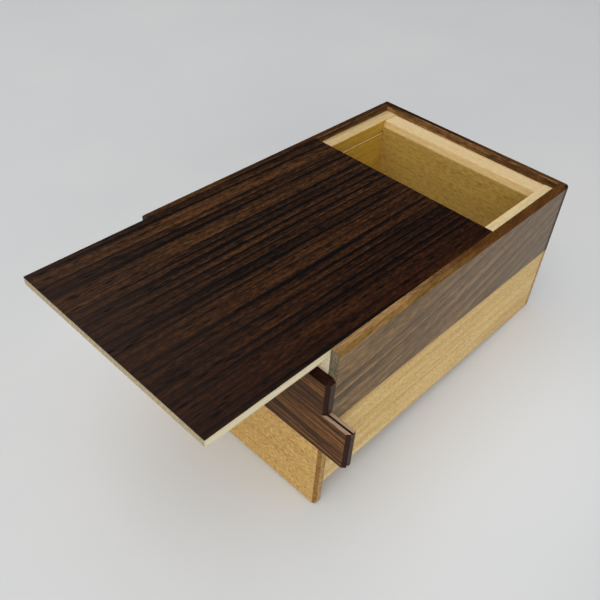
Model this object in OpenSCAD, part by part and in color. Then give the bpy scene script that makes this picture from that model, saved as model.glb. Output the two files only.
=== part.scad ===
// Sliding-panel puzzle box.
// X runs along the length, with the opening end at -X. Z is up.
// The origin is the centre of the box's underside.
// The box is drawn open: end panel dropped, key strip slid aside, lid part way out.

/* [Outer case] */
// Length over both end panels
box_l = 152; // [120:1:240]
// Width over both side panels
box_w = 101; // [80:1:170]
// Height from the underside to the rim
box_h = 69; // [58:1:110]
// Thickness of the outer boards
board_t = 3.6; // [3.2:0.1:6]
// Height of the pale lower boards
lower_h = 34.5; // [26:0.5:39]
// Chamfer along the outer edges
edge_chamfer = 1.3; // [0.4:0.1:2]
// Thickness of the bottom board
bottom_t = 3.6; // [2.4:0.1:5]

/* [Inner box] */
// Thickness of the long inner walls
inner_t = 5.8; // [4.8:0.1:8]
// Thickness of the far inner wall and its rail
far_wall_t = 9.2; // [6:0.1:11]
// Thickness of the near inner wall
near_wall_t = 5.8; // [5:0.1:9]
// Thickness of the compartment floor
floor_t = 2; // [1.2:0.1:4]
// Height of the lip over the lid grooves
lip_h = 5.3; // [3.6:0.1:5.6]
// Height of the lid grooves
groove_h = 1.4; // [1.1:0.1:1.8]
// Depth of the grooves in the inner walls
groove_d = 2.4; // [1.6:0.1:3]
// Height of the rail on the far inner wall
rail_h = 3.1; // [2.4:0.1:3.8]
// Height of the rail's upright front edge, under its bevel
rail_nose_h = 0.4; // [0.2:0.1:1.2]
// How far the bevel leans back
rail_bevel = 1.1; // [0.5:0.1:2]
// How far the rail's top lies under the lid
rail_drop = 0.3; // [0.1:0.1:0.6]

/* [Lid] */
// Whole thickness of the lid, veneer included
lid_t = 3.3; // [2.4:0.1:3.6]
// Thickness of the lid's veneer
veneer_t = 0.5; // [0.4:0.1:1]
// Width of the runners and the end batten under the lid
runner_w = 5; // [3.5:0.1:8]
// How far the lid is drawn out
lid_open = 51.6; // [0:0.1:120]

/* [End panel] */
// How far the end panel drops
panel_drop = 11.7; // [11.5:0.1:15]
// Height of the key strip
key_strip_h = 18.5; // [14:0.5:19]
// How far the key strip slides
key_travel = 10.8; // [9:0.1:16]
// Thickness of the tongues between the panel's boards
tongue_t = 0.6; // [0.5:0.1:1.4]
// Height of those tongues
tongue_h = 1.4; // [0.8:0.1:2]
// Thickness of the carrier board behind the end panel
carrier_t = 4; // [3.4:0.1:6]
// Thickness of the carrier's side ribs
rib_t = 2; // [1.2:0.1:3]

/* [Lock] */
// Width of the key block and of the stop peg under it
key_w = 8; // [5:0.1:8.5]
// Height of the key block
key_h = 5; // [3:0.1:5.2]
// Height of the stop peg
peg_h = 3; // [2:0.1:3.2]
// Depth of the blind pocket in the near inner wall
pocket_d = 3.5; // [2:0.1:4]

/* [Clearances] */
// Gap between wooden faces that slide on each other
slide_gap = 0.1; // [0.05:0.01:0.2]
// Gap between the lid's sides and the side boards
lid_gap = 0.15; // [0.1:0.01:0.3]
// Gap at the end of a tongue, rib or key in its groove or pocket
end_gap = 0.3; // [0.15:0.01:0.4]

/* [Hidden] */

over = 1;                                // extra length of a cut past the face it opens
walnut = "#7a5c3e";
pale_wood = "#cdaa66";
frame_wood = "#e0c894";
lid_wood = "#e2d7b4";
rosewood = "#3a1c12";

x_panel = -box_l / 2 + board_t;          // back face of the end panel
x_near = x_panel + slide_gap;            // near ends of everything fixed
x_far = box_l / 2 - board_t;             // inner face of the far boards
y_case = box_w / 2 - board_t;            // inner faces of the side boards
y_room = y_case - inner_t;               // inner faces of the long inner walls

z_seat = box_h - lid_t;                  // what the lid slides on
z_lip = z_seat - lip_h;                  // top of the lid grooves
z_groove = z_lip - groove_h;             // bottom of the lid grooves
z_rail = z_seat - rail_drop - rail_h;    // underside of the far rail
z_key_strip = lower_h;                   // bottom of the key strip's row
z_upper_strip = lower_h + key_strip_h;   // bottom of the upper strip

x_carrier = x_panel + carrier_t;         // back face of the carrier
x_near_wall = x_carrier + slide_gap;     // front face of the near inner wall
x_room = x_near_wall + near_wall_t;      // its back face
x_far_wall = x_far - far_wall_t;         // front face of the far inner wall

z_carrier = bottom_t + slide_gap + panel_drop;            // carrier's foot, panel raised
z_key = z_key_strip + (key_strip_h - key_h) / 2;          // key block's foot, panel raised
x_tongue = -box_l / 2 + board_t / 2;                      // middle of the panel's tongues
z_runner = z_groove + slide_gap;                          // underside of the runners

// A box given by its lowest and highest corners
module block(low, high) {
    translate(low) cube(high - low);
}

// Rectangle centred on the origin, with its four corners cut off
module cut_rectangle(size) {
    half = size / 2;
    c = edge_chamfer;
    polygon([
        [-half.x + c, -half.y], [half.x - c, -half.y], [half.x, -half.y + c], [half.x, half.y - c],
        [half.x - c, half.y], [-half.x + c, half.y], [-half.x, half.y - c], [-half.x, -half.y + c],
    ]);
}

// Outside of the closed box, with every edge chamfered
module envelope() {
    intersection() {
        linear_extrude(box_h) cut_rectangle([box_l, box_w]);
        translate([0, box_w / 2, box_h / 2]) rotate([90, 0, 0])
            linear_extrude(box_w) cut_rectangle([box_l, box_h]);
        translate([-box_l / 2, 0, box_h / 2]) rotate([90, 0, 90])
            linear_extrude(box_l) cut_rectangle([box_w, box_h]);
    }
}

// An outer board: the part of the envelope between two corners
module outer_board(low, high) {
    intersection() {
        envelope();
        block(low, high);
    }
}

// Drops a piece with the end panel
module dropped() {
    translate([0, 0, -panel_drop]) children();
}

// Moves a piece with the lid
module drawn_out() {
    translate([-lid_open, 0, 0]) children();
}

// ---- outer case ----

// One side board; side is -1 on the right and 1 on the left
module side_board(side, z_low, z_high) {
    y_low = side < 0 ? -box_w / 2 : y_case;
    outer_board([x_near, y_low, z_low], [x_far, y_low + board_t, z_high]);
}

module right_upper_board() {
    color(walnut) side_board(-1, lower_h, box_h);
}

module right_lower_board() {
    color(pale_wood) side_board(-1, 0, lower_h);
}

module left_upper_board() {
    color(walnut) side_board(1, lower_h, box_h);
}

module left_lower_board() {
    color(pale_wood) side_board(1, 0, lower_h);
}

module far_upper_board() {
    color(walnut) outer_board([x_far, -box_w / 2, lower_h], [box_l / 2, box_w / 2, box_h]);
}

module far_lower_board() {
    color(pale_wood) outer_board([x_far, -box_w / 2, 0], [box_l / 2, box_w / 2, lower_h]);
}

module bottom_board() {
    color(pale_wood) block([x_near, -y_case, 0], [x_far, y_case, bottom_t]);
}

// ---- inner box ----

// One long inner wall, with a groove for the lid's runner and one for the carrier's rib
module long_inner_wall(side) {
    y_low = side < 0 ? -y_case : y_room;
    groove_y = side < 0 ? -y_room - groove_d : y_room - over;
    groove_w = groove_d + over;
    difference() {
        block([x_near, y_low, bottom_t], [x_far, y_low + inner_t, z_seat]);
        block([x_near - over, groove_y, z_groove], [x_far + over, groove_y + groove_w, z_lip]);
        block(
            [x_carrier - rib_t - slide_gap, groove_y, bottom_t],
            [x_near_wall, groove_y + groove_w, z_seat + over]
        );
    }
}

module right_inner_wall() {
    color(frame_wood) long_inner_wall(-1);
}

module left_inner_wall() {
    color(frame_wood) long_inner_wall(1);
}

module far_inner_wall() {
    color(frame_wood) block([x_far_wall, -y_room, bottom_t], [x_far, y_room, z_rail]);
}

// Bevelled rail on top of the far inner wall, just under the closed lid
module far_rail() {
    color(frame_wood) translate([0, y_room, z_rail]) rotate([90, 0, 0]) linear_extrude(2 * y_room) polygon([
        [x_far, 0], [x_far, rail_h], [x_far_wall + rail_bevel, rail_h], [x_far_wall, rail_nose_h], [x_far_wall, 0],
    ]);
}

// Near inner wall, with a blind pocket for the key block
module near_inner_wall() {
    color(frame_wood) difference() {
        block([x_near_wall, -y_room, bottom_t], [x_room, y_room, z_groove - slide_gap]);
        block(
            [x_near_wall - over, -key_w / 2 - key_travel - end_gap, z_key - panel_drop - end_gap],
            [x_near_wall + pocket_d, key_w / 2 + end_gap, z_key + key_h + end_gap]
        );
    }
}

module inner_floor() {
    color(frame_wood) block([x_room, -y_room, bottom_t], [x_far_wall, y_room, bottom_t + floor_t]);
}

// Peg in the pocket; the centred key block stands on it and holds the panel up
module stop_peg() {
    color(frame_wood) block(
        [x_near_wall, -key_w / 2, z_key - slide_gap - peg_h],
        [x_near_wall + pocket_d, key_w / 2, z_key - slide_gap]
    );
}

// ---- end panel ----

// Tongue along the panel's width, between two heights
module panel_tongue(low, high) {
    intersection() {
        envelope();
        block([x_tongue - tongue_t / 2, -box_w / 2, low], [x_tongue + tongue_t / 2, box_w / 2, high]);
    }
}

module end_upper_strip() {
    color(walnut) dropped() union() {
        outer_board([-box_l / 2, -box_w / 2, z_upper_strip], [x_panel, box_w / 2, box_h]);
        panel_tongue(z_upper_strip - tongue_h, z_upper_strip + over);
    }
}

module end_lower_board() {
    color(pale_wood) dropped() union() {
        outer_board([-box_l / 2, -box_w / 2, 0], [x_panel, box_w / 2, lower_h]);
        panel_tongue(lower_h - over, lower_h + tongue_h);
    }
}

// Board behind the end panel, guided by its ribs, with a window for the key block
module end_carrier() {
    y_side = y_room - slide_gap;
    y_rib = y_room + groove_d - end_gap;
    z_top = z_seat - end_gap;
    color(frame_wood) dropped() difference() {
        union() {
            block([x_panel, -y_side, z_carrier], [x_carrier, y_side, z_top]);
            block([x_carrier - rib_t, -y_rib, z_carrier], [x_carrier, y_rib, z_top]);
        }
        block(
            [x_panel - over, -key_w / 2 - key_travel - slide_gap, z_key - slide_gap],
            [x_carrier + over, key_w / 2 + slide_gap, z_key + key_h + slide_gap]
        );
    }
}

// Strip that slides sideways between the panel's other boards, on their tongues
module key_strip() {
    groove_t = tongue_t + 2 * slide_gap;
    color(walnut) dropped() translate([0, -key_travel, 0]) difference() {
        outer_board(
            [-box_l / 2, -box_w / 2, z_key_strip + slide_gap],
            [x_panel - slide_gap, box_w / 2, z_upper_strip - slide_gap]
        );
        for (z = [z_key_strip + tongue_h + slide_gap - box_h, z_upper_strip - tongue_h - slide_gap])
            translate([x_tongue - groove_t / 2, -box_w / 2 - over, z])
                cube([groove_t, box_w + 2 * over, box_h]);
    }
}

module key_block() {
    color(frame_wood) dropped() translate([0, -key_travel, 0]) block(
        [x_panel - slide_gap, -key_w / 2, z_key],
        [x_near_wall + pocket_d - end_gap, key_w / 2, z_key + key_h]
    );
}

// ---- lid ----

// One layer of the lid
module lid_layer(z_low, z_high) {
    block([x_near, -y_case + lid_gap, z_low], [x_far - slide_gap, y_case - lid_gap, z_high]);
}

module lid_veneer() {
    color(rosewood) drawn_out() lid_layer(box_h - veneer_t, box_h);
}

module lid_core() {
    color(lid_wood) drawn_out() lid_layer(z_seat, box_h - veneer_t);
}

// One runner under the lid, with a tongue in the wall's groove
module lid_runner(side) {
    x_low = x_near_wall + slide_gap;
    x_high = x_far_wall - slide_gap - runner_w;
    y_out = y_room - slide_gap;
    y_tongue = y_room + groove_d - end_gap;
    mirror([0, side < 0 ? 1 : 0, 0]) union() {
        block([x_low, y_out - runner_w, z_runner], [x_high, y_out, z_seat]);
        block([x_low, y_out - over, z_runner], [x_high, y_tongue, z_lip - slide_gap]);
    }
}

module lid_right_runner() {
    color(lid_wood) drawn_out() lid_runner(-1);
}

module lid_left_runner() {
    color(lid_wood) drawn_out() lid_runner(1);
}

// Batten across the lid's far end, which stops against the far rail
module lid_end_batten() {
    x_high = x_far_wall - slide_gap;
    y_side = y_room - slide_gap;
    color(lid_wood) drawn_out()
        block([x_high - runner_w, -y_side, z_runner], [x_high, y_side, z_seat]);
}

right_upper_board();
right_lower_board();
left_upper_board();
left_lower_board();
far_upper_board();
far_lower_board();
bottom_board();
right_inner_wall();
left_inner_wall();
far_inner_wall();
far_rail();
near_inner_wall();
inner_floor();
stop_peg();
end_upper_strip();
end_lower_board();
end_carrier();
key_strip();
key_block();
lid_veneer();
lid_core();
lid_right_runner();
lid_left_runner();
lid_end_batten();
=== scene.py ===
# Puzzle box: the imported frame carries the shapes; this script adds eased arrises, the woods, the studio
# and the camera.
import math

import bpy
from mathutils import Matrix, Vector


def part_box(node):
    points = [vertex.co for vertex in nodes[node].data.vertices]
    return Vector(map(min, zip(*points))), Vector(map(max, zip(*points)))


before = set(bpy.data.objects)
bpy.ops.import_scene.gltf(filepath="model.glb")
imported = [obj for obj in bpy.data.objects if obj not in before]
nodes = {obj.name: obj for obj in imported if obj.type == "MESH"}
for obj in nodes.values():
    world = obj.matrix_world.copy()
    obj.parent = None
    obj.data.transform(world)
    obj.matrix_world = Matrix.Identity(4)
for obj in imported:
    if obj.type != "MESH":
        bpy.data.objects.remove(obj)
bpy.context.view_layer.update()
mm = 0.001


def toLinear(hexColour):
    # sRGB hex such as "7a5c3e" to the linear colour that shaders want
    channels = [int(hexColour[i:i + 2], 16) / 255 for i in (0, 2, 4)]
    linear = [c / 12.92 if c <= 0.04045 else ((c + 0.055) / 1.055) ** 2.4 for c in channels]
    return (*linear, 1.0)


def addNode(tree, kind, settings=None, links=None):
    # settings are the node's own attributes, its unlinked sockets, or a ramp's stops; links feed sockets
    node = tree.nodes.new(kind)
    for key, value in (settings or {}).items():
        if key == "stops":
            elements = node.color_ramp.elements
            elements[0].position, elements[0].color = value[0]
            elements[1].position, elements[1].color = value[-1]
            for place, colour in value[1:-1]:
                elements.new(place).color = colour
        elif isinstance(key, str) and hasattr(node, key):
            setattr(node, key, value)
        else:
            node.inputs[key].default_value = value
    for key, source in (links or {}).items():
        tree.links.new(source, node.inputs[key])
    return node


# Widths and lengths are millimetres in the wood. Real fibres and pores are mostly finer than shows at
# this distance, so fibres and flecks are drawn 0.28 to 0.50 mm wide. poreWidth is the space from pore
# to pore, and a pore is about 0.4 of it.

# American black walnut, planed and oiled: brown with darker growth lines, satin, dark open pores
walnutOiled = {
    "name": "walnutOiled",
    "colours": [(0.0, "b08858"), (0.35, "7a5732"), (0.65, "4b3019"), (1.0, "221409")],
    "ring": 0.45, "ringWidth": 2.6, "ringWander": 5.0,
    "streak": 0.50, "streakWidth": 2.6,
    "fibre": 0.60, "fibreWidth": 0.42, "fibreLength": 18.0,
    "fleck": 0.25, "fleckWidth": 0.5, "fleckLength": 1.6,
    "pore": 0.55, "poreWidth": 0.8, "poreLength": 6.0, "poreColour": "1f120a",
    "endColour": "3a2717", "chamferColour": "280e06", "mottle": 0.8,
    "roughness": 0.46, "relief": 0.030, "specular": 0.14,
}

# Katsura, planed and oiled: even yellow-tan, fine short flecks, no open grain
katsuraOiled = {
    "name": "katsuraOiled",
    "colours": [(0.0, "f0d698"), (0.40, "cfab68"), (0.75, "ac803c"), (1.0, "7c521c")],
    "ring": 0.08, "ringWidth": 7.0, "ringWander": 4.0,
    "streak": 0.16, "streakWidth": 9.0,
    "fibre": 0.20, "fibreWidth": 0.45, "fibreLength": 9.0,
    "fleck": 0.80, "fleckWidth": 0.28, "fleckLength": 0.80,
    "pore": 0.10, "poreWidth": 0.8, "poreLength": 3.0, "poreColour": "8a6428",
    "endColour": "a8854a", "chamferColour": "8a5f22", "mottle": 0.7,
    "roughness": 0.52, "relief": 0.020, "specular": 0.35,
}

# Basswood, planed and wiped with oil: pale gold, nearly matt, faint lines
basswoodPlaned = {
    "name": "basswoodPlaned",
    "colours": [(0.0, "ecd6a4"), (0.5, "dabc84"), (0.8, "c29e62"), (1.0, "9c7840")],
    "ring": 0.20, "ringWidth": 3.2, "ringWander": 3.0,
    "streak": 0.35, "streakWidth": 6.0,
    "fibre": 0.40, "fibreWidth": 0.40, "fibreLength": 14.0,
    "fleck": 0.50, "fleckWidth": 0.4, "fleckLength": 1.4,
    "pore": 0.08, "poreWidth": 0.8, "poreLength": 4.0, "poreColour": "a07c46",
    "endColour": "e0d3b4", "chamferColour": "d0b484", "mottle": 0.2,
    "roughness": 0.60, "relief": 0.015, "specular": 0.35,
}

# Agathis, sanded and left bare: creamy white, plain and matt
agathisSanded = {
    "name": "agathisSanded",
    "colours": [(0.0, "e8dcbc"), (0.5, "d8caa6"), (0.8, "c2b188"), (1.0, "a28e62")],
    "ring": 0.20, "ringWidth": 3.0, "ringWander": 3.0,
    "streak": 0.40, "streakWidth": 6.0,
    "fibre": 0.45, "fibreWidth": 0.40, "fibreLength": 9.0,
    "fleck": 0.30, "fleckWidth": 0.5, "fleckLength": 1.5,
    "pore": 0.06, "poreWidth": 0.8, "poreLength": 4.0, "poreColour": "a89468",
    "endColour": "b3a07c", "chamferColour": "b3a07c", "mottle": 0.3,
    "roughness": 0.62, "relief": 0.012, "specular": 0.35,
}

# Rosewood veneer, sanded and wiped with oil: near-black lines in brown, satin, open pores drawn coarse
rosewoodVeneer = {
    "name": "rosewoodVeneer",
    "colours": [
        (0.0, "5e3d22"), (0.28, "402610"), (0.52, "2a170b"), (0.78, "0f0704"), (1.0, "050202"),
    ],
    "ring": 0.66, "ringWidth": 3.5, "ringWander": 8.0, "lateFrom": 0.60,
    "streak": 0.42, "streakWidth": 6.5,
    "fibre": 0.45, "fibreWidth": 0.38, "fibreLength": 14.0,
    "fleck": 0.55, "fleckWidth": 0.40, "fleckLength": 1.2,
    "pore": 0.95, "poreWidth": 1.8, "poreLength": 10.0, "poreColour": "020101",
    "endColour": "0c0504", "chamferColour": "0c0504", "mottle": 0.5,
    "roughness": 0.44, "relief": 0.120, "specular": 0.12,
}


# How every wood's layers are drawn. A span is where a mask starts and where it is full.
figure = {
    "ringDrawOut": 0.035,                        # a ring's or streak's width to its length
    "ringDetail": 3.0, "ringDetailScale": 0.6, "ringDetailRoughness": 0.55,
    "lateFrom": 0.45, "lateTone": 0.18,          # late wood starts here in the year, this dark
    "lateFull": 0.88,                            # and is darkest here
    "yearSpan": (0.38, 0.60), "yearRange": (0.25, 1.5),  # some years hardly show and some are dark
    "lateMiddle": 0.3, "noiseMiddle": 0.5,       # each layer swings about its own middle
    "streakPull": 2.6, "fibrePull": 2.2, "fleckPull": 2.0,  # stretches noise, which stays near its middle
    "depth": 0.42,                               # how dark a plain board is, from 0 to 1
    "poreSpan": (0.32, 0.10),
    "faceSpan": (0.85, 0.95),
    "cutSpans": {"chamferColour": (0.35, 0.65), "endColour": (0.80, 0.95)},
    "mottleScale": 1.1, "mottleStops": (0.32, 0.5, 0.68), "mottleLight": 0.9, "mottleDark": 0.7,
    "roughSwing": 0.18, "bumpStrength": 0.6, "ior": 1.5,
}


def makeWood(piece):
    # grain coordinates: x runs along the grain, y and z across it, in millimetres
    wood = piece["wood"]
    material = bpy.data.materials.new(piece["node"] + "_" + wood["name"])
    material.use_nodes = True
    tree = material.node_tree
    tree.nodes.clear()
    add = lambda kind, settings=None, links=None: addNode(tree, kind, settings, links)
    place = add("ShaderNodeTexCoord")
    turn = -math.pi / 2 if piece["grain"] == "y" else 0.0
    along = add("ShaderNodeMapping", {"Scale": (1000, 1000, 1000), "Rotation": (0, 0, turn)},
                {"Vector": place.outputs["Object"]})
    tiltY, tiltZ = piece.get("tilt", (0, 0))
    log = add("ShaderNodeMapping", {
        "Rotation": (0, math.radians(tiltY), math.radians(tiltZ)),
        "Location": (piece["shift"], *piece["heart"]),
    }, {"Vector": along.outputs[0]})
    # a log is never quite straight: bend moves the rings sideways with the square of the length
    parts = add("ShaderNodeSeparateXYZ", None, {0: log.outputs[0]})
    square = add("ShaderNodeMath", {"operation": "MULTIPLY"},
                 {0: parts.outputs["X"], 1: parts.outputs["X"]})
    bendY, bendZ = piece.get("bend", (0, 0))  # how far, in mm, 100 mm along from the log's middle
    bow = add("ShaderNodeVectorMath", {"operation": "SCALE", 0: (0, bendY / 10000, bendZ / 10000)},
              {"Scale": square.outputs[0]})
    bent = add("ShaderNodeVectorMath", {"operation": "ADD"}, {0: log.outputs[0], 1: bow.outputs[0]})

    # everything in wood is drawn out along the grain
    drawnOut = {}
    for key, ratio in (
        ("ring", figure["ringDrawOut"]),
        ("fibre", wood["fibreWidth"] / wood["fibreLength"]),
        ("fleck", wood["fleckWidth"] / wood["fleckLength"]),
        ("pore", wood["poreWidth"] / wood["poreLength"]),
    ):
        drawnOut[key] = add("ShaderNodeVectorMath", {"operation": "MULTIPLY", 1: (ratio, 1, 1)},
                            {0: bent.outputs[0]}).outputs[0]

    # a wave texture makes 20 / 2 pi rings per unit, so this scale gives the ring width
    ring = add("ShaderNodeTexWave", {
        "wave_type": "RINGS", "rings_direction": "X", "wave_profile": "SAW",
        "Scale": 2 * math.pi / 20 / piece.get("ringWidth", wood["ringWidth"]),
        "Distortion": wood["ringWander"], "Detail": figure["ringDetail"],
        "Detail Scale": figure["ringDetailScale"], "Detail Roughness": figure["ringDetailRoughness"],
    }, {"Vector": drawnOut["ring"]})
    # late wood darkens slowly through the year and stops at once
    lateTone = figure["lateTone"]
    late = add("ShaderNodeValToRGB", {"stops": [
        (0.0, (0, 0, 0, 1)),
        (wood.get("lateFrom", figure["lateFrom"]), (lateTone, lateTone, lateTone, 1)),
        (figure["lateFull"], (1, 1, 1, 1)),
        (1.0, (0, 0, 0, 1)),
    ]}, {0: ring.outputs["Fac"]})
    streak = add("ShaderNodeTexNoise", {
        "Scale": 1 / wood["streakWidth"], "Detail": 5.0, "Roughness": 0.62, "Distortion": 0.3,
    }, {"Vector": drawnOut["ring"]})
    yearStart, yearFull = figure["yearSpan"]
    yearLow, yearHigh = figure["yearRange"]
    year = add("ShaderNodeMapRange", {1: yearStart, 2: yearFull, 3: yearLow, 4: yearHigh},
               {0: streak.outputs["Fac"]})
    lateYears = add("ShaderNodeMath", {"operation": "MULTIPLY"}, {0: late.outputs[0], 1: year.outputs[0]})
    fibre = add("ShaderNodeTexNoise", {
        "Scale": 0.5 / wood["fibreWidth"], "Detail": 3.0, "Roughness": 0.7,
    }, {"Vector": drawnOut["fibre"]})
    fleck = add("ShaderNodeTexNoise", {
        "Scale": 0.5 / wood["fleckWidth"], "Detail": 2.0, "Roughness": 0.6,
    }, {"Vector": drawnOut["fleck"]})
    pore = add("ShaderNodeTexVoronoi", {"Scale": 1 / wood["poreWidth"], "Randomness": 1.0},
               {"Vector": drawnOut["pore"]})
    poreStart, poreFull = figure["poreSpan"]
    poreMask = add("ShaderNodeMapRange", {1: poreFull, 2: poreStart, 3: 1.0, 4: 0.0},
                   {0: pore.outputs["Distance"]})

    # how dark each spot is, from 0 to 1
    noiseMiddle = figure["noiseMiddle"]
    dark = None
    for source, middle, amount in (
        (lateYears.outputs[0], figure["lateMiddle"], piece.get("ring", wood["ring"])),
        (streak.outputs["Fac"], noiseMiddle, piece.get("streak", wood["streak"]) * figure["streakPull"]),
        (fibre.outputs["Fac"], noiseMiddle, piece.get("fibre", wood["fibre"]) * figure["fibrePull"]),
        (fleck.outputs["Fac"], noiseMiddle, piece.get("fleck", wood["fleck"]) * figure["fleckPull"]),
    ):
        part = add("ShaderNodeMath", {"operation": "MULTIPLY_ADD", 1: amount, 2: -amount * middle},
                   {0: source})
        if dark is None:
            dark = add("ShaderNodeMath", {"operation": "ADD", 1: piece.get("depth", figure["depth"])},
                       {0: part.outputs[0]})
        else:
            dark = add("ShaderNodeMath", {"operation": "ADD"}, {0: dark.outputs[0], 1: part.outputs[0]})
    shade = add("ShaderNodeValToRGB", {
        "stops": [(at, toLinear(colour)) for at, colour in wood["colours"]],
    }, {0: dark.outputs[0]}).outputs[0]

    # A face can have its own tint, where it was oiled, sanded or worn differently. Many tints are painted
    # light and shade, as each board notes, and so is every fade on the lid, the right side and its rim.
    faceStart, faceFull = figure["faceSpan"]
    for face in piece.get("faces", ()):
        facing = add("ShaderNodeVectorMath", {"operation": "DOT_PRODUCT", 1: face["normal"]},
                     {0: place.outputs["Normal"]})
        mask = add("ShaderNodeMapRange", {1: faceStart, 2: faceFull, 3: 0.0, 4: face.get("amount", 1.0)},
                   {0: facing.outputs["Value"]}).outputs[0]
        if "fade" in face:
            # the tint comes in between two places along an axis, in millimetres
            axis, start, end = face["fade"]
            spot = add("ShaderNodeSeparateXYZ", None, {0: along.outputs[0]})
            fade = add("ShaderNodeMapRange", {1: start, 2: end, 3: 0.0, 4: 1.0}, {0: spot.outputs[axis]})
            mask = add("ShaderNodeMath", {"operation": "MULTIPLY"},
                       {0: mask, 1: fade.outputs[0]}).outputs[0]
        shade = add("ShaderNodeMix", {
            "data_type": "RGBA", "blend_type": face.get("blend", "MULTIPLY"), 7: toLinear(face["tint"]),
        }, {0: mask, 6: shade}).outputs[2]

    # end grain drinks the oil and turns darker; the chamfers across it, rubbed most, are darkest
    acrossAxis = (0, 1, 0) if piece["grain"] == "y" else (1, 0, 0)
    cut = add("ShaderNodeVectorMath", {"operation": "DOT_PRODUCT", 1: acrossAxis},
              {0: place.outputs["Normal"]})
    cutSize = add("ShaderNodeMath", {"operation": "ABSOLUTE"}, {0: cut.outputs["Value"]})
    mottle = add("ShaderNodeTexNoise", {"Scale": figure["mottleScale"], "Detail": 3.0, "Roughness": 0.6},
                 {"Vector": along.outputs[0]})
    lightUp = 1 + figure["mottleLight"] * wood["mottle"]
    darkDown = 1 - figure["mottleDark"] * wood["mottle"]
    for key, (cutStart, cutFull) in figure["cutSpans"].items():
        endMask = add("ShaderNodeMapRange", {1: cutStart, 2: cutFull, 3: 0.0, 4: 1.0},
                      {0: cutSize.outputs[0]})
        endColour = toLinear(piece.get(key, wood[key]))
        lighter = tuple(min(1.0, c * lightUp) for c in endColour[:3]) + (1.0,)
        darker = tuple(c * darkDown for c in endColour[:3]) + (1.0,)
        grained = add("ShaderNodeValToRGB",
                      {"stops": list(zip(figure["mottleStops"], (lighter, endColour, darker)))},
                      {0: mottle.outputs["Fac"]})
        shade = add("ShaderNodeMix", {"data_type": "RGBA", "blend_type": "MIX"},
                    {0: endMask.outputs[0], 6: shade, 7: grained.outputs[0]}).outputs[2]
    poreStrength = add("ShaderNodeMath", {"operation": "MULTIPLY", 1: wood["pore"]},
                       {0: poreMask.outputs[0]})
    shade = add("ShaderNodeMix", {
        "data_type": "RGBA", "blend_type": "MIX", 7: toLinear(wood["poreColour"]),
    }, {0: poreStrength.outputs[0], 6: shade}).outputs[2]

    # fibres vary a little in gloss
    swing = figure["roughSwing"]
    rough = add("ShaderNodeMath", {
        "operation": "MULTIPLY_ADD", 1: swing, 2: wood["roughness"] - swing / 2,
    }, {0: fibre.outputs["Fac"]})
    # relief: pores are pits, fibres stand slightly proud
    height = add("ShaderNodeMath", {"operation": "SUBTRACT"},
                 {0: fibre.outputs["Fac"], 1: poreMask.outputs[0]})
    bump = add("ShaderNodeBump", {"Strength": figure["bumpStrength"], "Distance": wood["relief"] * mm},
               {"Height": height.outputs[0]})
    shader = add("ShaderNodeBsdfPrincipled", {
        "IOR": figure["ior"], "Specular IOR Level": wood["specular"],
    }, {
        "Base Color": shade, "Roughness": rough.outputs[0], "Normal": bump.outputs[0],
    })
    add("ShaderNodeOutputMaterial", None, {"Surface": shader.outputs[0]})
    return material


# fine paper takes the arris off every board: "width" is what it takes unless the board says otherwise
easing = {"width": 0.12, "segments": 2, "sharperThan": 30, "joinWithin": 0.01}


def finishBoard(piece):
    # the CAD board keeps its shape, gets its wood and has its arrises eased
    board = nodes[piece["node"]]
    board.data.materials.clear()
    board.data.materials.append(makeWood(piece))
    # the frame's meshes come with their faces apart, and a bevel needs them joined
    joined = board.modifiers.new("joinedFaces", "WELD")
    joined.merge_threshold = easing["joinWithin"] * mm
    eased = board.modifiers.new("easedArris", "BEVEL")
    eased.width = piece.get("ease", easing["width"]) * mm
    eased.segments = easing["segments"]
    eased.limit_method = "ANGLE"
    eased.angle_limit = math.radians(easing["sharperThan"])
    eased.harden_normals = True


# Outer case. heart is where the log's heart lies from the frame's middle, across the grain, in mm;
# tilt is the log's lean in degrees, shift slides the pattern along the grain.
rightUpperBoard = {
    "node": "right_upper_board", "wood": walnutOiled, "grain": "x",
    "heart": (40, 45), "bend": (0, -11), "shift": 90, "depth": 0.44, "ease": 0.10,
    "ring": 0.34, "ringWidth": 6.2, "streak": 0.44, "fibre": 0.50, "fleck": 0.45,
    "endColour": "6f6350",
    "faces": [
        # painted reflection: the outer face is greyed by the room's sheen, more towards the far end
        {"normal": (0, -1, 0), "tint": "86785c", "blend": "MIX", "amount": 0.3},
        {"normal": (0, -1, 0), "tint": "7d7266", "blend": "MIX", "amount": 0.5, "fade": ("X", -50, 60)},
        # rim chamfer golden and rim top lighter: partly wood tone, partly painted highlight; the fades
        # darkening them towards the far end are painted shade
        {"normal": (0, -0.707, 0.707), "tint": "8b6a2c", "blend": "MIX", "amount": 0.55},
        {"normal": (0, 0, 1), "tint": "c8a066", "blend": "MIX", "amount": 0.30},
        {"normal": (0, 0, 1), "tint": "9c8250", "fade": ("X", -50, 0)},
        {"normal": (0, -0.707, 0.707), "tint": "b09060", "fade": ("X", -40, 20)},
    ],
}
finishBoard(rightUpperBoard)
leftUpperBoard = {
    "node": "left_upper_board", "wood": walnutOiled, "grain": "x",
    "heart": (-30, 160), "tilt": (1, 2), "shift": 240, "depth": 0.45, "ease": 0.10,
    "ring": 0.34, "ringWidth": 6.0, "streak": 0.36, "fibre": 0.45, "fleck": 0.40,
    "faces": [
        # painted reflection greys the outer face; the darker rim top and chamfer are painted shade
        {"normal": (0, 1, 0), "tint": "86785c", "blend": "MIX", "amount": 0.35},
        {"normal": (0, 0, 1), "tint": "8c7650"},
        {"normal": (0, 0.707, 0.707), "tint": "c0b8a8"},
    ],
}
finishBoard(leftUpperBoard)
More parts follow.
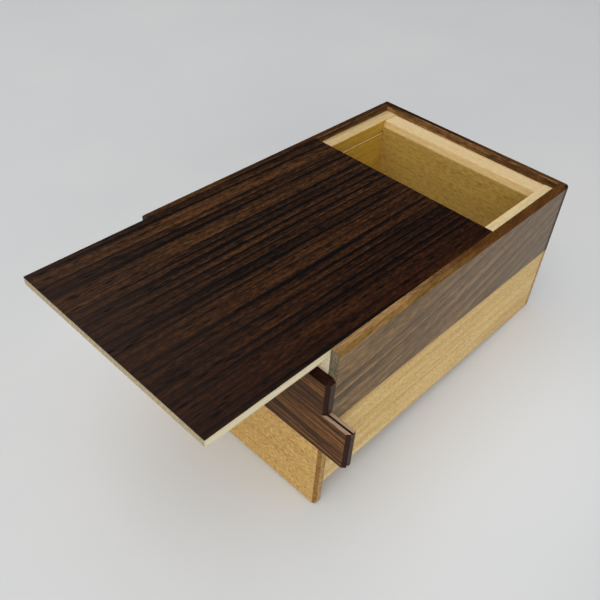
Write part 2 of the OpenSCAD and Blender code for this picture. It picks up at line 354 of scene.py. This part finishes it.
farUpperBoard = {
    "node": "far_upper_board", "wood": walnutOiled, "grain": "y",
    "heart": (70, 150), "tilt": (1, 0), "shift": 410, "depth": 0.45, "ease": 0.10,
    "ring": 0.34, "ringWidth": 5.0, "streak": 0.34, "fibre": 0.45, "fleck": 0.40,
    "faces": [
        # painted reflection greys the outer face; the darker rim top is painted shade
        {"normal": (1, 0, 0), "tint": "86785c", "blend": "MIX", "amount": 0.35},
        {"normal": (0, 0, 1), "tint": "9a8868"},
    ],
}
finishBoard(farUpperBoard)
rightLowerBoard = {
    "node": "right_lower_board", "wood": katsuraOiled, "grain": "x",
    "heart": (50, 180), "tilt": (1, 0), "shift": 15, "depth": 0.36, "ease": 0.10,
    "ring": 0.12, "streak": 0.24, "fibre": 0.30, "fleck": 0.50,
}
finishBoard(rightLowerBoard)
leftLowerBoard = {
    "node": "left_lower_board", "wood": katsuraOiled, "grain": "x",
    "heart": (-80, 90), "tilt": (-1, 0), "shift": 310, "depth": 0.38, "ease": 0.10,
    "ring": 0.12, "streak": 0.24, "fibre": 0.30, "fleck": 0.50,
}
finishBoard(leftLowerBoard)
farLowerBoard = {
    "node": "far_lower_board", "wood": katsuraOiled, "grain": "y",
    "heart": (90, 120), "tilt": (0, 1), "shift": 520, "depth": 0.38, "ease": 0.10,
    "ring": 0.12, "streak": 0.24, "fibre": 0.30, "fleck": 0.50,
}
finishBoard(farLowerBoard)
bottomBoard = {
    "node": "bottom_board", "wood": katsuraOiled, "grain": "x",
    "heart": (20, 60), "tilt": (1, 0), "shift": 700, "depth": 0.4, "ease": 0.15,
}
finishBoard(bottomBoard)
print("outer case finished")

rightInnerWall = {
    "node": "right_inner_wall", "wood": basswoodPlaned, "grain": "x",
    "heart": (60, 210), "shift": 90, "depth": 0.30,
    # painted shade and bounce light: the face inside the box is darker and more golden
    "faces": [{"normal": (0, 1, 0), "tint": "e0cb6c"}],
}
finishBoard(rightInnerWall)
leftInnerWall = {
    "node": "left_inner_wall", "wood": basswoodPlaned, "grain": "x",
    "heart": (-60, 190), "shift": 430, "depth": 0.34,
    # painted shade and bounce light: the inside face is darker and more golden; the greyer top is painted
    # light, and the golden groove floor below 61 mm is painted bounce light
    "faces": [{"normal": (0, -1, 0), "tint": "e0cb6c"}, {"normal": (0, 0, 1), "tint": "e8e2d8"},
              {"normal": (0, 0, 1), "tint": "ecca74", "blend": "MIX", "fade": ("Z", 62, 61)}],
}
finishBoard(leftInnerWall)
farInnerWall = {
    "node": "far_inner_wall", "wood": basswoodPlaned, "grain": "y",
    "heart": (-60, 140), "tilt": (1, 0), "shift": 800, "depth": 0.45,
    "ring": 0.08, "streak": 0.16, "fibre": 0.25, "fleck": 0.85,
    # painted shade and bounce light: the face inside the box is darker and more golden
    "faces": [{"normal": (-1, 0, 0), "tint": "e2d496"}],
}
finishBoard(farInnerWall)
farRail = {
    "node": "far_rail", "wood": basswoodPlaned, "grain": "y",
    "heart": (50, 120), "shift": 610, "depth": 0.30,
    # painted shade: the rail's top is dimmed a little and its bevelled front more
    "faces": [{"normal": (0, 0, 1), "tint": "f6f2f2"}, {"normal": (-0.926, 0, 0.377), "tint": "f2e4cc"}],
}
finishBoard(farRail)
nearInnerWall = {
    "node": "near_inner_wall", "wood": basswoodPlaned, "grain": "y",
    "heart": (50, 110), "shift": 20, "depth": 0.4,
}
finishBoard(nearInnerWall)
innerFloor = {
    "node": "inner_floor", "wood": basswoodPlaned, "grain": "x",
    "heart": (20, 90), "shift": 120, "depth": 0.45,
}
finishBoard(innerFloor)
stopPeg = {
    "node": "stop_peg", "wood": basswoodPlaned, "grain": "y",
    "heart": (20, 30), "shift": 5, "depth": 0.5, "ease": 0.2,
}
finishBoard(stopPeg)
print("inner box finished")

endUpperStrip = {
    "node": "end_upper_strip", "wood": walnutOiled, "grain": "y",
    "heart": (30, 260), "tilt": (2, 0), "shift": 130, "depth": 0.56, "ease": 0.12,
    "ring": 0.28, "streak": 0.30, "fibre": 0.85,
    "faces": [
        {"normal": (-1, 0, 0), "tint": "f2dcb2"},
        # painted shadow of the lid: the top and its chamfer are darkened
        {"normal": (0, 0, 1), "tint": "6a3020"},
        {"normal": (-0.707, 0, 0.707), "tint": "5a2c20"},
    ],
}
finishBoard(endUpperStrip)
keyStrip = {
    "node": "key_strip", "wood": walnutOiled, "grain": "y",
    "heart": (30, 262), "tilt": (2, 0), "shift": 130, "depth": 0.54, "ease": 0.12,
    "ring": 0.28, "streak": 0.30, "fibre": 0.85,
    "faces": [
        {"normal": (-1, 0, 0), "tint": "f2dcb2"},
        # painted light: the top is lightened as if lit from above
        {"normal": (0, 0, 1), "tint": "c2a68c", "blend": "MIX", "amount": 0.75},
    ],
}
finishBoard(keyStrip)
endLowerBoard = {
    "node": "end_lower_board", "wood": katsuraOiled, "grain": "y",
    "heart": (40, 150), "tilt": (1, 0), "shift": 230, "depth": 0.42, "ease": 0.15,
    "faces": [{"normal": (-1, 0, 0), "tint": "fff4dc"}],
}
finishBoard(endLowerBoard)
endCarrier = {
    "node": "end_carrier", "wood": basswoodPlaned, "grain": "y",
    "heart": (20, 130), "shift": 330, "depth": 0.4,
}
finishBoard(endCarrier)
keyBlock = {
    "node": "key_block", "wood": basswoodPlaned, "grain": "y",
    "heart": (10, 40), "shift": 50, "depth": 0.5, "ease": 0.2,
}
finishBoard(keyBlock)
print("end panel finished")

lidVeneer = {
    "node": "lid_veneer", "wood": rosewoodVeneer, "grain": "x",
    "heart": (260, 0), "tilt": (0, 1.0), "shift": 75, "depth": 0.53, "ease": 0.06,
    "faces": [
        # painted sheen greys the lid towards its near end; painted shade darkens it towards its right
        # edge
        {"normal": (0, 0, 1), "tint": "35261f", "blend": "MIX", "amount": 0.5, "fade": ("X", -70, -124)},
        {"normal": (0, 0, 1), "tint": "b49680", "fade": ("Y", 20, -45)},
    ],
}
finishBoard(lidVeneer)
lidCore = {
    "node": "lid_core", "wood": agathisSanded, "grain": "x",
    "heart": (150, 30), "shift": 175, "depth": 0.3, "ease": 0.06,
}
finishBoard(lidCore)
for lidNode, grain, shift in (
    ("lid_right_runner", "x", 35), ("lid_left_runner", "x", 265), ("lid_end_batten", "y", 365),
):
    finishBoard({
        "node": lidNode, "wood": agathisSanded, "grain": grain,
        "heart": (60, 30), "shift": shift, "depth": 0.4,
    })
print("lid finished")

# The open box stands on its dropped end panel and on its far bottom edge, so the table leans in the
# box's frame. Smooth matt paper covers it: pale, hardly any sheen, a little cloudy. It is made whiter
# near the box, which weakens the shade that the box lays on it.
table = {
    "size": 14.0, "gap": 0.00005,  # metres
    "farChamfer": 1.3,             # on the far board's lower edge, in mm
    "cloudColours": [(0.3, "d1d2d2"), (0.7, "d7d6d5")], "cloudScale": 9.0,
    "nearColour": "e4e5e6", "nearFull": 0.07, "nearEnd": 0.17,
    "roughness": 0.7,
}
panelLow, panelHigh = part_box("end_lower_board")
farLow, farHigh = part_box("far_lower_board")
nearFoot = Vector((panelHigh.x, 0, panelLow.z - table["gap"]))
farFoot = Vector((farHigh.x - table["farChamfer"] * mm, 0, farLow.z - table["gap"]))
tableAlong = (farFoot - nearFoot).normalized()
tableUp = Vector((-tableAlong.z, 0, tableAlong.x))
tableFrame = Matrix((tableAlong, Vector((0, 1, 0)), tableUp)).transposed().to_4x4()
tableFrame.translation = (nearFoot + farFoot) / 2

half = table["size"] / 2
tableCorners = [(-half, -half, 0), (half, -half, 0), (half, half, 0), (-half, half, 0)]
floorMesh = bpy.data.meshes.new("tableTop")
floorMesh.from_pydata(tableCorners, [], [(0, 1, 2, 3)])
floor = bpy.data.objects.new("tableTop", floorMesh)
bpy.context.scene.collection.objects.link(floor)
floor.matrix_world = tableFrame
paper = bpy.data.materials.new("paperMatt")
paper.use_nodes = True
paperTree = paper.node_tree
paperShader = paperTree.nodes["Principled BSDF"]
paperShader.inputs["Roughness"].default_value = table["roughness"]
paperCoord = addNode(paperTree, "ShaderNodeTexCoord")
cloud = addNode(paperTree, "ShaderNodeTexNoise",
                {"Scale": table["cloudScale"], "Detail": 4.0, "Roughness": 0.55},
                {"Vector": paperCoord.outputs["Object"]})
paperShade = addNode(paperTree, "ShaderNodeValToRGB",
                     {"stops": [(at, toLinear(colour)) for at, colour in table["cloudColours"]]},
                     {0: cloud.outputs["Fac"]})
fromMiddle = addNode(paperTree, "ShaderNodeVectorMath", {"operation": "LENGTH"},
                     {0: paperCoord.outputs["Object"]})
middle = addNode(paperTree, "ShaderNodeMapRange", {
    "interpolation_type": "SMOOTHSTEP", 1: table["nearFull"], 2: table["nearEnd"], 3: 1.0, 4: 0.0,
}, {0: fromMiddle.outputs["Value"]})
paperTone = addNode(paperTree, "ShaderNodeMix", {"data_type": "RGBA", 7: toLinear(table["nearColour"])},
                    {0: middle.outputs[0], 6: paperShade.outputs[0]})
paperTree.links.new(paperTone.outputs[2], paperShader.inputs["Base Color"])
floorMesh.materials.append(paper)


aimHeight = 0.03  # metres over the table, a little under the box's middle


def addSoftbox(name, spec):
    # spec places the light over the table, and it faces the box
    light = bpy.data.lights.new(name, "AREA")
    light.shape = "RECTANGLE"
    light.size, light.size_y = spec["size"]
    light.energy = spec["power"]
    light.color = toLinear(spec["colour"])[:3]
    lamp = bpy.data.objects.new(name, light)
    bpy.context.scene.collection.objects.link(lamp)
    spot = tableFrame @ Vector(spec["from"])
    lamp.matrix_world = Matrix.Translation(spot)
    beam = tableFrame @ Vector((0, 0, aimHeight)) - spot
    lamp.rotation_euler = beam.to_track_quat("-Z", "Y").to_euler()


overheadSoftbox = {"from": (-0.25, 0.15, 1.3), "size": (1.9, 1.6), "power": 15.0, "colour": "fefeff"}
addSoftbox("overheadSoftbox", overheadSoftbox)
sideSoftbox = {"from": (-0.85, -1.05, 0.6), "size": (1.4, 1.0), "power": 7.5, "colour": "fffefa"}
addSoftbox("sideSoftbox", sideSoftbox)

# the room is bright behind the camera and dark behind the box, which keeps the lid's sheen low;
# a pale band runs round it just above the table
room = {
    "colour": "e8ecf0", "toward": (-0.64, -0.64, 0.42),
    "dim": 0.05, "dimAt": -0.5, "bright": 0.55, "brightAt": 0.7,
    "band": 0.45, "bandTop": 0.3,
}
world = bpy.data.worlds.new("paleRoom")
bpy.context.scene.world = world
world.use_nodes = True
roomTree = world.node_tree
roomPlace = addNode(roomTree, "ShaderNodeTexCoord")
roomSide = addNode(roomTree, "ShaderNodeVectorMath", {"operation": "DOT_PRODUCT", 1: room["toward"]},
                   {0: roomPlace.outputs["Generated"]})
roomGlow = addNode(roomTree, "ShaderNodeMapRange", {
    1: room["dimAt"], 2: room["brightAt"], 3: room["dim"], 4: room["bright"],
}, {0: roomSide.outputs["Value"]})
roomUp = addNode(roomTree, "ShaderNodeSeparateXYZ", None, {0: roomPlace.outputs["Generated"]})
roomBand = addNode(roomTree, "ShaderNodeMapRange", {
    "interpolation_type": "SMOOTHSTEP", 1: 0.0, 2: room["bandTop"], 3: room["band"], 4: 0.0,
}, {0: roomUp.outputs["Z"]})
roomLight = addNode(roomTree, "ShaderNodeMath", {"operation": "MAXIMUM"},
                    {0: roomGlow.outputs[0], 1: roomBand.outputs[0]})
background = roomTree.nodes["Background"]
background.inputs["Color"].default_value = toLinear(room["colour"])
roomTree.links.new(roomLight.outputs[0], background.inputs["Strength"])
bpy.context.scene.view_settings.view_transform = "Standard"

viewpoint = {
    "from": (-0.1997, -0.1437, 0.2300), "to": (-0.0339, 0.0012, 0.0345),
    "lens": 43.35, "sensor": 36, "roll": 0.17, "clipStart": 0.01,
}
cameraData = bpy.data.cameras.new("camera")
cameraData.sensor_width = viewpoint["sensor"]
cameraData.lens = viewpoint["lens"]
cameraData.clip_start = viewpoint["clipStart"]
camera = bpy.data.objects.new("camera", cameraData)
bpy.context.scene.collection.objects.link(camera)
ahead = (Vector(viewpoint["to"]) - Vector(viewpoint["from"])).normalized()
rightward = ahead.cross(tableUp).normalized()
upward = rightward.cross(ahead)
looking = Matrix((rightward, upward, -ahead)).transposed().to_4x4()
roll = Matrix.Rotation(math.radians(viewpoint["roll"]), 4, "Z")
camera.matrix_world = Matrix.Translation(Vector(viewpoint["from"])) @ looking @ roll
bpy.context.scene.camera = camera
print("studio and camera ready")
